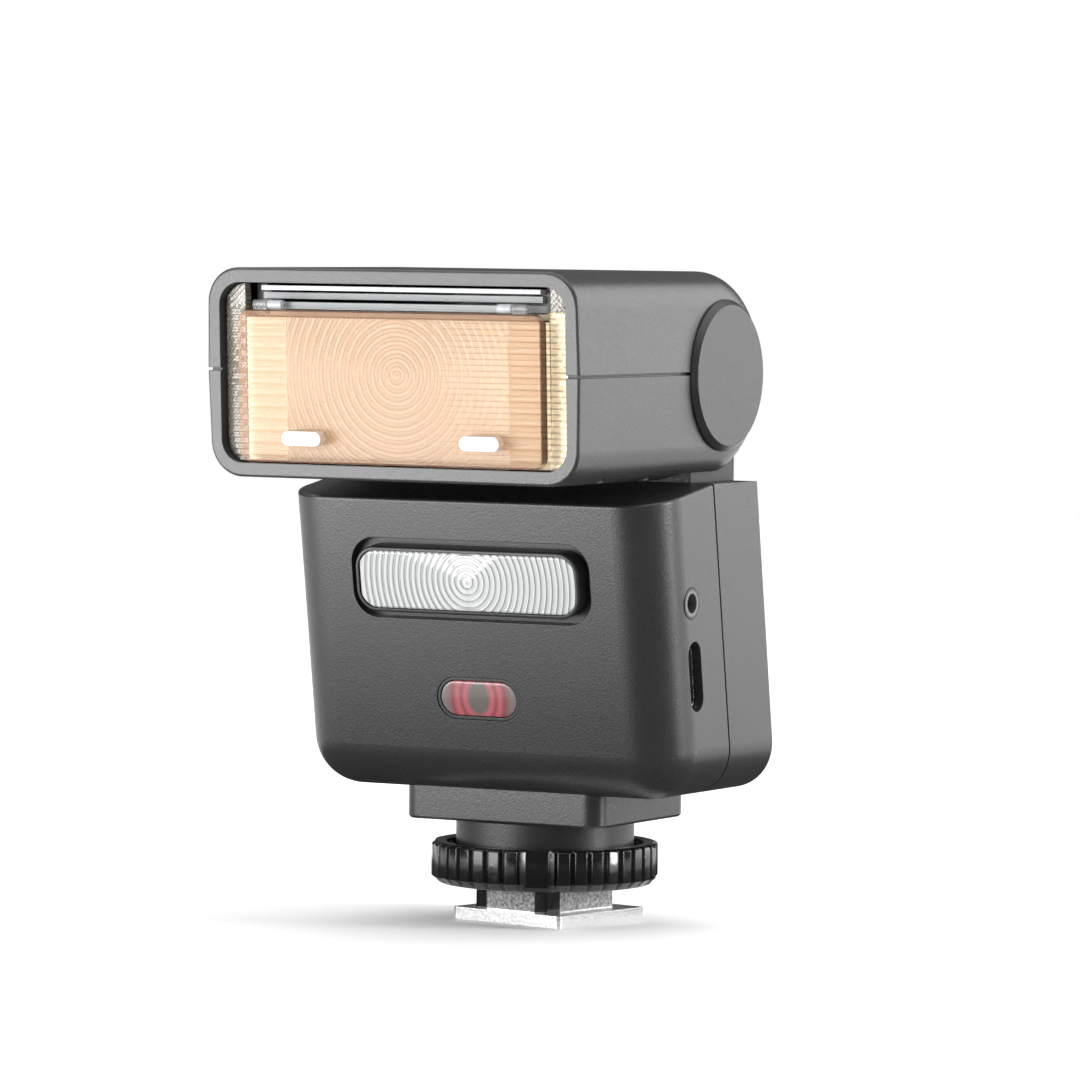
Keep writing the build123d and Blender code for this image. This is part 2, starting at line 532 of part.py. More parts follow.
def filter_pieces():
    """Amber filter on a clear pull-out carrier, with its hinge lugs, pins and grip pads."""
    high, low = FILTER_HIGH - HEAD_SPLIT, FILTER_LOW - HEAD_SPLIT
    hinge_y = (HINGE_Z - HEAD_SPLIT) / cos(radians(BEZEL_LEAN))
    hinge = Plane(origin=BEZEL.from_local_coords(Vector(0, hinge_y, 0)), x_dir=(0, 1, 0), z_dir=(1, 0, 0))
    plate = pad(BEZEL, FILTER_W, high - low, 1.5, -FILTER_T / 2, FILTER_T / 2, y=(high + low) / 2)
    pads, lugs = [], []
    for side in (-1, 1):
        spot = {"x": side * GRIP_PAD_X, "y": low + GRIP_PAD_RISE}
        plate -= pad(BEZEL, *GRIP_PAD, -PAST, PAST, **spot)
        pads.append(pad(BEZEL, *GRIP_PAD, -0.6, 1.0, **spot))
        lug = disc(hinge, KNUCKLE_R, *sorted(side * end for end in LUG))
        lug += BEZEL * Pos(side * 19.2, hinge_y - 0.6, 0) * Box(2.0, 1.2, 1.0)
        plate -= lug
        lug -= disc(hinge, HINGE_PIN_R, -SPAN, SPAN)
        lugs.append(lug)
    back = block((-PANEL_HALF, PANEL_HALF), (-38.4, PANEL_BACK), CARRIER_Z)
    lip = block((-18.0, 18.0), (hinge.origin.Y + 0.9, -38.4), CARRIER_Z)
    carrier = back + lip
    for side in (-1, 1):
        knuckle = sorted(side * end for end in KNUCKLE)
        carrier += disc(hinge, KNUCKLE_R, *knuckle)
        carrier += block(knuckle, (hinge.origin.Y, hinge.origin.Y + 1.0), (82.4, 83.0))
    carrier -= disc(hinge, HINGE_BORE_R, -SPAN, SPAN)
    pin = [disc(hinge, HINGE_PIN_R, *sorted((side * KNUCKLE[0], side * LUG[1]))) for side in (-1, 1)]
    return {
        "filter_plate": plate, "filter_pads": group(pads), "filter_lugs": group(lugs),
        "filter_carrier": carrier, "filter_hinge_pins": group(pin),
    }


def pull_out_panels():
    """Clear wide-angle panel and white bounce card."""
    diffuser = block((-PANEL_HALF, PANEL_HALF), (PANEL_FRONT, PANEL_BACK), DIFFUSER_Z)
    card = block((-PANEL_HALF, PANEL_HALF), (PANEL_FRONT - 0.6, PANEL_BACK), CARD_Z)
    return {"diffuser_panel": diffuser, "bounce_card": card}


# ---- pedestal, swivel, wheel and foot -----------------------------------------------------------
def foot_plate():
    """Metal shoe foot with its stem and the hub that the wheel turns on."""
    foot = pad(SHOE, FOOT_W, FOOT_L, 0.64, 0, FOOT_T, y=FOOT_BACK)
    foot = chamfer(edges_at(foot, SHOE, 0), 0.25)
    foot += pad(SHOE, STEM_W, STEM_L, 0.3, FOOT_T - 0.5, STEM_TOP)
    foot += disc(SHOE, HUB_R, STEM_TOP, COLLAR_LOW)
    foot -= contact_core()
    foot -= disc(SHOE, LOCK_PIN_R + FIT, -1, 20, *LOCK_PIN_AT)
    foot -= disc(SHOE, LOCK_HEAD_R + FIT, 6.4, 20, *LOCK_PIN_AT)
    foot -= disc(SHOE, WIRE_R, 4.9, 20)
    for part in collar_screws():
        foot -= part
    return foot


LOCK_PIN_AT, LOCK_PIN_R, LOCK_HEAD_R = (0, -5.75), 0.7, 1.15
PINS = [(0, 0, 1.1), (-3.0, 2.6, 0.75), (3.0, 2.6, 0.75), (-2.4, -2.8, 0.75), (2.4, -2.8, 0.75)]


def contact_core():
    """Form of the insulator before its pin holes."""
    core = pad(SHOE, 10.2, 9.6, 1.0, 0, INSULATOR_TOP)
    for x in (-1, 1):
        core += pad(SHOE, 2.2, 3.0, 0.3, FOOT_T, INSULATOR_TOP, x * 5.1, -5.5)
    return core


def contact_block():
    """Black insulator in the foot, showing at the front corners of the stem."""
    insulator = contact_core()
    for x, y, radius in PINS:
        insulator -= disc(SHOE, radius + FIT, -PAST, INSULATOR_TOP + PAST, x, y)
    return insulator


def contact_pins():
    """Five sprung contacts, flush with the underside of the foot."""
    return [disc(SHOE, radius, 0, 4.4, x, y) for x, y, radius in PINS]


def lock_pieces():
    """Wheel, clamp plate and locking pin."""
    wheel = disc(Plane.XY, WHEEL_R, RIM_LOW, RIM_HIGH)
    wheel += Pos(0, 0, (WHEEL_LOW + RIM_LOW) / 2) * Cone(14.0, 14.9, RIM_LOW - WHEEL_LOW)
    wheel += Pos(0, 0, (RIM_HIGH + WHEEL_HIGH) / 2) * Cone(WHEEL_R, 14.6, WHEEL_HIGH - RIM_HIGH)
    for step in range(GRIPS):
        cut = QUARTER_CUT if step % GRIPS_PER_QUARTER == 0 else GRIP_CUT
        wheel -= Rot(0, 0, step * 360 / GRIPS + GRIP_START) * Pos(WHEEL_R, 0, 8.8) * Box(*cut)
    wheel -= disc(Plane.XY, RIM_BORE_TOP, WHEEL_WEB[1], WHEEL_HIGH + PAST)
    wheel -= disc(Plane.XY, RIM_BORE_LOW, WHEEL_LOW - PAST, WHEEL_WEB[0])
    wheel -= disc(Plane.XY, HUB_R + FIT, WHEEL_LOW - PAST, WHEEL_HIGH + PAST)
    clamp = disc(SHOE, CLAMP_R, CLAMP_LOW, CLAMP_HIGH)
    clamp -= pad(SHOE, STEM_W + 4 * FIT, STEM_L + 4 * FIT, 0.35, CLAMP_LOW - PAST, CLAMP_HIGH + PAST)
    pin = disc(SHOE, LOCK_PIN_R, 0.2, 8.9, *LOCK_PIN_AT) + disc(SHOE, LOCK_HEAD_R, 8.0, 8.9, *LOCK_PIN_AT)
    return {"lock_wheel": wheel, "clamp_plate": clamp, "lock_pin": pin}


def collar_screws():
    """Four screws from above that hold the foot to the swivel collar."""
    seat = Plane(origin=(0, 0, COLLAR_FLOOR), x_dir=(1, 0, 0), z_dir=(0, 0, 1))
    spots = [(3.05 * cos(radians(a)), 3.05 * sin(radians(a))) for a in (34, 124, 214, 304)]
    return [screw(seat, x, y, 0, 0.6, 5.0, 1.05, 0.9) for x, y in spots]


def swivel_pieces():
    """Collar fixed to the foot, with the ring that holds it in the pedestal."""
    collar = disc(Plane.XY, COLLAR_R, COLLAR_LOW, PEDESTAL_LOW - 0.1)
    collar += disc(Plane.XY, SPIGOT_R, PEDESTAL_LOW - 0.1, SPIGOT_TOP)
    collar -= disc(Plane.XY, SPIGOT_BORE, COLLAR_FLOOR, 20)
    collar -= disc(Plane.XY, WIRE_R, 8, 14)
    for part in collar_screws():
        collar -= part
    keeper = ring(Plane.XY, KEEPER_R, SPIGOT_R, KEEPER_LOW, KEEPER_HIGH)
    return {"swivel_collar": collar, "swivel_keeper": keeper}


def pedestal_pieces():
    """Square pedestal under the body, its inner plate and screws."""
    base = pad(Plane.XY, PEDESTAL_W, PEDESTAL_D, 2.4, PEDESTAL_LOW, BODY_LOW + 2)
    base = chamfer(edges_at(base, Plane.XY, PEDESTAL_LOW), 0.3)
    base -= BODY
    base += block((-10.95, 10.95), (-8.95, 8.95), (BODY_LOW - 1, BODY_LOW + WALL))
    base -= disc(Plane.XY, SPIGOT_R + FIT, 10, 30)
    base -= disc(Plane.XY, KEEPER_R + 0.2, KEEPER_LOW - FIT, 30)
    plate = pad(Plane.XY, 25.0, 20.6, 1.5, BODY_LOW + WALL, BODY_LOW + WALL + 1.0)
    plate -= disc(Plane.XY, 6.0, 10, 30)
    seat = Plane(origin=(0, 0, BODY_LOW + WALL + 1.0), x_dir=(1, 0, 0), z_dir=(0, 0, 1))
    screws = [screw(seat, x, y, 0, 0.75, 5.2, 1.4, 0.9) for x in (-9.4, 9.4) for y in (-7.4, 7.4)]
    for part in screws:
        base -= part
        plate -= part
    return {"pedestal": base, "pedestal_plate": plate, "pedestal_screws": group(screws)}


# ---- everything is written out -------------------------------------------------------------------
def pieces():
    """All nodes by name."""
    nodes = {
        "foot_plate": foot_plate(),
        "contact_block": contact_block(),
        "contact_pins": group(contact_pins()),
        "collar_screws": group(collar_screws()),
        "front_casing": front_casing(),
        "rear_casing": rear_casing(),
        "casing_screws": group(casing_screws()),
        "neck_drum": neck_drum(),
        "neck_screws": group(neck_screws()),
        "hinge_washers": group(hinge_washers()),
        "hinge_bushes": group([hinge_bush(1), hinge_bush(-1)]),
        "hinge_caps": group([hinge_cap(1), hinge_cap(-1)]),
        "head_upper_shell": head_shell(True),
        "head_lower_shell": head_shell(False),
        "head_screws": group(head_screws()),
        "panel_tray": panel_tray(),
    }
    makers = (
        lock_pieces, swivel_pieces, pedestal_pieces, led_pieces, aiming_pieces, socket_pieces,
        inner_pieces, control_pieces, optic_pieces, filter_pieces, pull_out_panels,
    )
    for maker in makers:
        nodes.update(maker())
    return nodes


for node_name, node_shape in pieces().items():
    write(node_name, node_shape)
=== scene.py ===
from math import cos, floor, hypot, pi, radians, sin, sqrt

import bpy
from mathutils import Matrix, Vector


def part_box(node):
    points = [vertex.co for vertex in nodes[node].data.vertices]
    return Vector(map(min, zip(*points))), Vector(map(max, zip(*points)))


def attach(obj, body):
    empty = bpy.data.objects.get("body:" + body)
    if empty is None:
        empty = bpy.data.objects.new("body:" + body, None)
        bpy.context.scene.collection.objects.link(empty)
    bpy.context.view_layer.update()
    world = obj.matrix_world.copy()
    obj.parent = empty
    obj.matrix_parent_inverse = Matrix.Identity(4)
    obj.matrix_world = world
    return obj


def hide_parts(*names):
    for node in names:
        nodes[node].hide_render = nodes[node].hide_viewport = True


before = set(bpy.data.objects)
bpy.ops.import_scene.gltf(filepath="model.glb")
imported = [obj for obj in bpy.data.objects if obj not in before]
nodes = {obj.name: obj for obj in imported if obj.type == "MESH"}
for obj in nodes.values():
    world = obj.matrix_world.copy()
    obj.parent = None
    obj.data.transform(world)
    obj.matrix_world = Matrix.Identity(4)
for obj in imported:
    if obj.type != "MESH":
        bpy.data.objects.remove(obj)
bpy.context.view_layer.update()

MM = 0.001

# Leans of the faces and the places that no box gives, as the part has them.
BODY_LEAN = radians(9.0)
BEZEL_LEAN = radians(2.9)
JACK_CENTRE = Vector((28.4, -12.65, 44.35)) * MM
JACK_RADIUS = 2.0 * MM
FOOT_PLATE_TOP = 1.95 * MM
TRAY_FLOOR = 82.0 * MM
CASING_SCREW_ORIGIN = Vector((0, 8.25, 46.4)) * MM
CASING_SCREW_HEIGHTS = (10.0 * MM, -21.0 * MM)
CASING_SCREW_SINK = 1.4 * MM
HEAD_SCREW_SEAT = 0.9 * MM

# Pitches of the lens facets, shared by the shapes and the materials.
LIGHT_RING = 0.85 * MM
FLASH_RING = 1.1 * MM
FLASH_BAND = 0.76 * MM
FLASH_PYRAMID = 0.8 * MM
FLASH_RINGS_HALF = 16.5 * MM
ACRYLIC_IOR = 1.49

# Most values of a noise texture lie between these two.
NOISE_LOW, NOISE_HIGH = 0.3, 0.7


def middle(name):
    """Centre of a CAD node's box."""
    low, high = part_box(name)
    return (Vector(low) + Vector(high)) / 2


# ---- materials --------------------------------------------------------------------------------
def shader(name, colour, roughness, metallic=0.0):
    """New material with one Principled shader, returned with its node tree."""
    mat = bpy.data.materials.new(name)
    mat.use_nodes = True
    tree = mat.node_tree
    bsdf = tree.nodes["Principled BSDF"]
    bsdf.inputs["Base Color"].default_value = (*colour, 1)
    bsdf.inputs["Roughness"].default_value = roughness
    bsdf.inputs["Metallic"].default_value = metallic
    return mat, tree, bsdf


def coordinates(tree, stretch=(1, 1, 1)):
    """Object coordinates, optionally stretched."""
    source = tree.nodes.new("ShaderNodeTexCoord")
    mapping = tree.nodes.new("ShaderNodeMapping")
    mapping.inputs["Scale"].default_value = stretch
    tree.links.new(source.outputs["Object"], mapping.inputs["Vector"])
    return mapping.outputs["Vector"]


def noise(tree, vector, scale, detail=3.0):
    """Noise texture value; scale is in cycles per metre."""
    node = tree.nodes.new("ShaderNodeTexNoise")
    node.inputs["Scale"].default_value = scale
    node.inputs["Detail"].default_value = detail
    tree.links.new(vector, node.inputs["Vector"])
    return node.outputs["Fac"]


def ramp_colour(tree, value, stops):
    """Colour socket of a ramp over a value; stops are (position, colour)."""
    node = tree.nodes.new("ShaderNodeValToRGB")
    elements = node.color_ramp.elements
    for index, (position, colour) in enumerate(stops):
        element = elements[index] if index < 2 else elements.new(position)
        element.position = position
        element.color = (*colour, 1)
    tree.links.new(value, node.inputs["Fac"])
    return node.outputs["Color"]


def ramp(tree, value, stops, target):
    """Colour ramp from a value into a socket."""
    tree.links.new(ramp_colour(tree, value, stops), target)


def mottled(low, high):
    """Ramp stops that run from one colour to another over the values of a noise."""
    return [(NOISE_LOW, low), (NOISE_HIGH, high)]


def spread(tree, value, low, high, target):
    """Maps a noise value onto a range and into a socket."""
    node = tree.nodes.new("ShaderNodeMapRange")
    node.inputs["From Min"].default_value = NOISE_LOW
    node.inputs["From Max"].default_value = NOISE_HIGH
    node.inputs["To Min"].default_value = low
    node.inputs["To Max"].default_value = high
    tree.links.new(value, node.inputs["Value"])
    tree.links.new(node.outputs["Result"], target)


def relief(tree, bsdf, value, distance, strength=1.0, edge=0.0):
    """Bump from a value, over slightly rounded edges if edge is given."""
    bump = tree.nodes.new("ShaderNodeBump")
    bump.inputs["Strength"].default_value = strength
    bump.inputs["Distance"].default_value = distance
    tree.links.new(value, bump.inputs["Height"])
    if edge:
        bevel = tree.nodes.new("ShaderNodeBevel")
        bevel.samples = 4
        bevel.inputs["Radius"].default_value = edge
        tree.links.new(bevel.outputs["Normal"], bump.inputs["Normal"])
    tree.links.new(bump.outputs["Normal"], bsdf.inputs["Normal"])


def calc(tree, operation, first, second=None):
    """Math node; each operand is a socket or a number."""
    node = tree.nodes.new("ShaderNodeMath")
    node.operation = operation
    for index, operand in enumerate((first, second)):
        if isinstance(operand, (int, float)):
            node.inputs[index].default_value = operand
        elif operand is not None:
            tree.links.new(operand, node.inputs[index])
    return node.outputs[0]


def blend_colours(tree, factor, first, second):
    """Mix of two colour sockets by a factor socket."""
    node = tree.nodes.new("ShaderNodeMix")
    node.data_type = "RGBA"
    # The colour sockets of this node share their names with others, so they go by number.
    share_in, first_in, second_in, colour_out = 0, 6, 7, 2
    tree.links.new(factor, node.inputs[share_in])
    tree.links.new(first, node.inputs[first_in])
    tree.links.new(second, node.inputs[second_in])
    return node.outputs[colour_out]


def lines(tree, distance, pitch, line, field, width):
    """Colour of a facet pattern: a thin line once every pitch."""
    phase = calc(tree, "FRACT", calc(tree, "MULTIPLY", distance, 1 / pitch))
    return ramp_colour(tree, phase, [(0.0, line), (width, field), (0.94, field)])


def from_centre(tree, centre, squeeze=1.0, level_axis=0):
    """Coordinates from a centre along a level axis and upward, and the distance from it."""
    split = tree.nodes.new("ShaderNodeSeparateXYZ")
    tree.links.new(coordinates(tree), split.inputs["Vector"])
    across = calc(tree, "SUBTRACT", split.outputs[level_axis], centre[level_axis])
    upward = calc(tree, "SUBTRACT", split.outputs["Z"], centre[2])
    stretched = calc(tree, "MULTIPLY", upward, squeeze)
    level_square = calc(tree, "MULTIPLY", across, across)
    squares = calc(tree, "ADD", level_square, calc(tree, "MULTIPLY", stretched, stretched))
    return across, upward, calc(tree, "SQRT", squares)


def tint(colour, factor):
    """Colour made lighter or darker."""
    return tuple(min(1.0, channel * factor) for channel in colour)


def moulded(name, colour, roughness, grain=3800, depth=0.03 * MM, edge=0.15 * MM, vary=0.08):
    """Moulded plastic: spark-eroded grain, faint flow marks and uneven gloss."""
    mat, tree, bsdf = shader(name, colour, roughness)
    where = coordinates(tree)
    fine = noise(tree, where, grain, 2)
    slow = noise(tree, where, 60, 2)
    ramp(tree, slow, mottled(tint(colour, 1 - vary), tint(colour, 1 + vary)), bsdf.inputs["Base Color"])
    spread(tree, fine, roughness - 0.06, roughness + 0.06, bsdf.inputs["Roughness"])
    relief(tree, bsdf, fine, depth, 0.65, edge)
    return mat


def metal(name, colour, roughness, grain, stretch=(1, 1, 1), depth=0.02 * MM, edge=0.1 * MM):
    """Metal with blasted or brushed grain."""
    mat, tree, bsdf = shader(name, colour, roughness, 1.0)
    where = coordinates(tree, stretch)
    fine = noise(tree, where, grain, 6)
    ramp(tree, fine, mottled(tint(colour, 0.85), tint(colour, 1.12)), bsdf.inputs["Base Color"])
    spread(tree, fine, roughness - 0.08, roughness + 0.08, bsdf.inputs["Roughness"])
    relief(tree, bsdf, fine, depth, 0.4, edge)
    return mat


def clear(name, colour, alpha, roughness, haze=0.03):
    """Clear or tinted plastic, with faint ripples and haze."""
    mat, tree, bsdf = shader(name, colour, roughness)
    bsdf.inputs["Alpha"].default_value = alpha
    bsdf.inputs["IOR"].default_value = ACRYLIC_IOR
    where = coordinates(tree)
    slow = noise(tree, where, 180, 2)
    ramp(tree, slow, mottled(tint(colour, 1 - haze), tint(colour, 1 + haze)), bsdf.inputs["Base Color"])
    relief(tree, bsdf, slow, 0.02 * MM, 0.2)
    return mat


def circuit(name, colour, traces):
    """Circuit board: solder mask with copper traces and pads under it."""
    mat, tree, bsdf = shader(name, colour, 0.3)
    where = coordinates(tree)
    cells = tree.nodes.new("ShaderNodeTexVoronoi")
    cells.feature = "DISTANCE_TO_EDGE"
    cells.inputs["Scale"].default_value = 420
    tree.links.new(where, cells.inputs["Vector"])
    ramp(tree, cells.outputs["Distance"], [(0.03, traces), (0.07, colour)], bsdf.inputs["Base Color"])
    relief(tree, bsdf, cells.outputs["Distance"], 0.04 * MM, 0.5)
    return mat


def amber_gel(name, centre, half_width, half_height):
    """Amber filter: see-through peach, with a brown edge of painted shade along its right, top and bottom,
    ending before its pale left side.
    """
    pale, edge_shade = (0.45, 0.25, 0.14), (0.09, 0.025, 0.008)
    mat, tree, bsdf = shader(name, pale, 0.16)
    bsdf.inputs["Alpha"].default_value = 0.3
    bsdf.inputs["Specular IOR Level"].default_value = 0.12
    across, upward = from_centre(tree, centre)[:2]
    side = calc(tree, "SUBTRACT", half_width, across)
    end = calc(tree, "SUBTRACT", half_height, calc(tree, "ABSOLUTE", upward))
    inside = calc(tree, "MULTIPLY", calc(tree, "MINIMUM", side, end), 1 / MM)
    # The brown edge and its higher opacity are painted shade where the side walls are seen through.
    shades = [(0.0, edge_shade), (0.16, edge_shade), (0.26, tint(pale, 0.8)), (1.0, pale)]
    ramp(tree, inside, shades, bsdf.inputs["Base Color"])
    ramp(tree, inside, [(0.0, (0.9, 0.9, 0.9)), (0.16, (0.8, 0.8, 0.8)), (0.26, (0.3, 0.3, 0.3))],
         bsdf.inputs["Alpha"])
    relief(tree, bsdf, noise(tree, coordinates(tree), 220, 2), 0.02 * MM, 0.15, 0.2 * MM)
    return mat


def aiming_red(name, centre, half_width):
    """Deep red window: a painted glowing ring round a dark lamp, fading to smoky ends."""
    mat, tree, bsdf = shader(name, (0.12, 0.01, 0.012), 0.22)
    bsdf.inputs["Coat Weight"].default_value = 0.5
    distance = from_centre(tree, centre, 0.75)[2]
    share = calc(tree, "DIVIDE", distance, half_width)
    # The glow and its dimmer ring are painted glow in the base colour; the window gives no light.
    smoky, glow, core = (0.14, 0.11, 0.11), (0.34, 0.085, 0.10), (0.10, 0.085, 0.078)
    painted_glow_dim = tint(glow, 0.5)
    stops = [(0.0, core), (0.24, core), (0.36, glow), (0.46, painted_glow_dim), (0.56, glow), (0.68, painted_glow_dim), (0.86, smoky)]
    ramp(tree, share, stops, bsdf.inputs["Base Color"])
    relief(tree, bsdf, noise(tree, coordinates(tree), 500, 2), 0.02 * MM, 0.2)
    return mat


def flash_acrylic(name, centre):
    """Flash lens: bright cream bands that are a painted reflection of the reflector, whitest at the far left,
    rings in the middle, a darker cross-hatch at the left and top; their lines are painted facet shade.
    """
    cream, shade, painted_flare = (0.62, 0.52, 0.35), (0.28, 0.21, 0.12), (1.0, 0.92, 0.72)
    tan, groove = (0.86, 0.72, 0.48), (0.24, 0.17, 0.09)
    pale, hatch_shade = (0.27, 0.25, 0.21), (0.05, 0.045, 0.04)
    fade_from, fade_over = 4 * MM, 13 * MM
    hatch_left, hatch_above = -22.4 * MM, 8.5 * MM
    mat, tree, bsdf = shader(name, cream, 0.14)
    bsdf.inputs["IOR"].default_value = ACRYLIC_IOR
    bsdf.inputs["Coat Weight"].default_value = 0.4
    across, upward, distance = from_centre(tree, centre)
    # The lines of the rings, bands and hatch are painted facet shade.
    rings = lines(tree, distance, FLASH_RING / 2, shade, cream, 0.35)
    bands = lines(tree, upward, FLASH_BAND, groove, tan, 0.35)
    bright_bands = lines(tree, upward, FLASH_BAND, tan, painted_flare, 0.35)
    to_right = calc(tree, "DIVIDE", calc(tree, "SUBTRACT", across, fade_from), fade_over)
    middle_part = blend_colours(tree, calc(tree, "MAXIMUM", to_right, 0.0), rings, bands)
    # Beyond the rings at the far left the bands take a whiter painted reflection of the reflector.
    flared = calc(tree, "LESS_THAN", across, -FLASH_RINGS_HALF)
    plain = blend_colours(tree, flared, middle_part, bright_bands)
    rising = lines(tree, calc(tree, "ADD", across, upward), FLASH_RING / 2, hatch_shade, pale, 0.5)
    falling = lines(tree, calc(tree, "SUBTRACT", across, upward), FLASH_RING / 2, hatch_shade, pale, 0.5)
    row = calc(tree, "FRACT", calc(tree, "MULTIPLY", upward, 1 / FLASH_PYRAMID))
    checks = calc(tree, "GREATER_THAN", row, 0.5)
    hatch = blend_colours(tree, checks, rising, falling)
    left = calc(tree, "LESS_THAN", across, hatch_left)
    above = calc(tree, "GREATER_THAN", upward, hatch_above)
    hatched = calc(tree, "MAXIMUM", left, above)
    tree.links.new(blend_colours(tree, hatched, plain, hatch), bsdf.inputs["Base Color"])
    relief(tree, bsdf, noise(tree, coordinates(tree), 1500, 3), 0.01 * MM, 0.2)
    return mat


def light_acrylic(name, centre):
    """Lens of the continuous light: bright, with fine grey rings of painted facet shade and a hot centre."""
    mat, tree, bsdf = shader(name, (0.6, 0.6, 0.6), 0.08)
    bsdf.inputs["IOR"].default_value = ACRYLIC_IOR
    bsdf.inputs["Coat Weight"].default_value = 0.5
    distance = from_centre(tree, centre)[2]
    # The grey ring lines are painted facet shade.
    rings = lines(tree, distance, LIGHT_RING, (0.07, 0.07, 0.073), (0.46, 0.47, 0.47), 0.42)
    tree.links.new(rings, bsdf.inputs["Base Color"])
    glow_reach = 12 * MM
    glow = calc(tree, "DIVIDE", distance, glow_reach)
    ramp(tree, glow, [(0.0, (0.34, 0.34, 0.33)), (0.35, (0.12, 0.12, 0.12)), (1.0, (0.02, 0.02, 0.02))],
         bsdf.inputs["Emission Color"])
    bsdf.inputs["Emission Strength"].default_value = 0.25
    relief(tree, bsdf, noise(tree, coordinates(tree), 1500, 3), 0.01 * MM, 0.2)
    return mat


def jack_collar(name, centre):
    """Black jack body with a satin grey collar round its bore."""
    black, grey = (0.004, 0.004, 0.004), (0.10, 0.10, 0.103)
    mat, tree, bsdf = shader(name, black, 0.42)
    distance = from_centre(tree, centre, level_axis=1)[2]
    share = calc(tree, "DIVIDE", distance, JACK_RADIUS)
    ramp(tree, share, [(0.62, black), (0.66, grey), (0.84, grey), (0.88, black)], bsdf.inputs["Base Color"])
    relief(tree, bsdf, noise(tree, coordinates(tree), 2600, 2), 0.02 * MM, 0.4, 0.1 * MM)
    return mat


def tray_plastic(name, floor_top):
    """Panel tray: cream floor that continues the lens, and smoky walls above it."""
    mat, tree, bsdf = shader(name, (0.10, 0.10, 0.10), 0.4)
    split = tree.nodes.new("ShaderNodeSeparateXYZ")
    tree.links.new(coordinates(tree), split.inputs["Vector"])
    rise = calc(tree, "MULTIPLY", calc(tree, "SUBTRACT", split.outputs["Z"], floor_top), 1 / MM)
    ramp(tree, rise, [(0.0, (0.58, 0.49, 0.34)), (0.1, (0.09, 0.09, 0.09))], bsdf.inputs["Base Color"])
    relief(tree, bsdf, noise(tree, coordinates(tree), 2600, 2), 0.03 * MM, 0.4, 0.1 * MM)
    return mat


def foot_metal(name, plate_top):
    """Foot: bright plated plate, and above it a darker sand-blasted stem."""
    mat, tree, bsdf = shader(name, (0.8, 0.8, 0.8), 0.25, 1.0)
    where = coordinates(tree)
    split = tree.nodes.new("ShaderNodeSeparateXYZ")
    tree.links.new(where, split.inputs["Vector"])
    fine = noise(tree, where, 2400, 2)
    height = tree.nodes.new("ShaderNodeMapRange")
    height.inputs["From Min"].default_value = plate_top
    height.inputs["From Max"].default_value = plate_top + 0.1 * MM
    tree.links.new(split.outputs["Z"], height.inputs["Value"])
    above = height.outputs["Result"]
    plate = ramp_colour(tree, fine, mottled((0.78, 0.78, 0.78), (0.96, 0.96, 0.96)))
    stem = ramp_colour(tree, fine, mottled((0.09, 0.09, 0.09), (0.32, 0.32, 0.32)))
    tree.links.new(blend_colours(tree, above, plate, stem), bsdf.inputs["Base Color"])
    share = calc(tree, "ADD", calc(tree, "MULTIPLY", above, 0.3), 0.35)
    spread(tree, share, 0.22, 0.5, bsdf.inputs["Roughness"])
    relief(tree, bsdf, fine, 0.04 * MM, 0.6, 0.12 * MM)
    return mat


CHARCOAL = (0.020, 0.020, 0.0204)
filter_low, filter_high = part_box("filter_plate")
filter_rise = filter_high[2] - filter_low[2]
aim_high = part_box("af_window")[1]
finishes = {
    # Head shells: the body's charcoal made lighter, painted light for the stronger light on the bezel.
    "head": moulded("head_plastic_painted_lighter", tint(CHARCOAL, 1.35), 0.33),
    "body": moulded("body_shell_plastic", CHARCOAL, 0.33),
    "tray": tray_plastic("tray_plastic", TRAY_FLOOR),
    "jack": jack_collar("jack_collar", JACK_CENTRE),
    "dark": moulded("dark_plastic", (0.022, 0.022, 0.023), 0.38),
    "neck": moulded("neck_plastic", (0.006, 0.006, 0.0062), 0.52),
    "cap": moulded("cap_plastic", tint(CHARCOAL, 0.6), 0.36),
    "gloss": moulded("gloss_plastic", (0.006, 0.006, 0.0065), 0.14, grain=900, depth=0.01 * MM),
    "control": moulded("key_plastic", (0.03, 0.03, 0.032), 0.5, grain=3200),
    "white": moulded("white_plastic", (0.80, 0.79, 0.77), 0.35, vary=0.03),
    "card": moulded("card_plastic", (0.58, 0.60, 0.62), 0.45, vary=0.02),
    "acetal": moulded("washer_plastic", (0.62, 0.62, 0.58), 0.45, vary=0.05),
    "foot": foot_metal("foot_metal", FOOT_PLATE_TOP),
    "steel": metal("brushed_steel", (0.52, 0.52, 0.53), 0.30, 900, (1, 1, 14)),
    "screw": metal("black_steel", (0.10, 0.10, 0.105), 0.34, 1500),
    "gold": metal("gold_contact", (0.83, 0.62, 0.27), 0.22, 1500),
    "nickel": metal("socket_nickel", (0.45, 0.45, 0.46), 0.28, 1200),
    "mirror": metal("reflector_foil", (0.90, 0.89, 0.87), 0.12, 400),
    "clear": clear("clear_acrylic", (0.56, 0.58, 0.59), 0.46, 0.12),
    "faint": clear("lug_acrylic", (0.45, 0.46, 0.46), 0.2, 0.12),
    "quartz": clear("tube_quartz", (0.82, 0.86, 0.90), 0.45, 0.05),
    "smoked": clear("display_glass", (0.012, 0.013, 0.015), 0.32, 0.07),
    "display": moulded("display_crystal", (0.30, 0.37, 0.31), 0.3, grain=6000, vary=0.04),
    "segment": moulded("display_segment", (0.015, 0.018, 0.016), 0.4, grain=6000),
    "board": circuit("board_mask", (0.012, 0.075, 0.03), (0.05, 0.16, 0.06)),
    "battery": moulded("battery_wrap", (0.05, 0.12, 0.32), 0.22, grain=700),
    "phosphor": moulded("chip_phosphor", (0.85, 0.72, 0.22), 0.4, grain=4000),
    "amber": amber_gel("amber_gel", middle("filter_plate"), filter_high[0], filter_rise / 2),
    "red": aiming_red("aiming_red", middle("af_window"), aim_high[0]),
    "cream": flash_acrylic("flash_lens_acrylic", middle("fresnel_lens")),
    "bright": light_acrylic("light_lens_acrylic", middle("led_lens")),
}

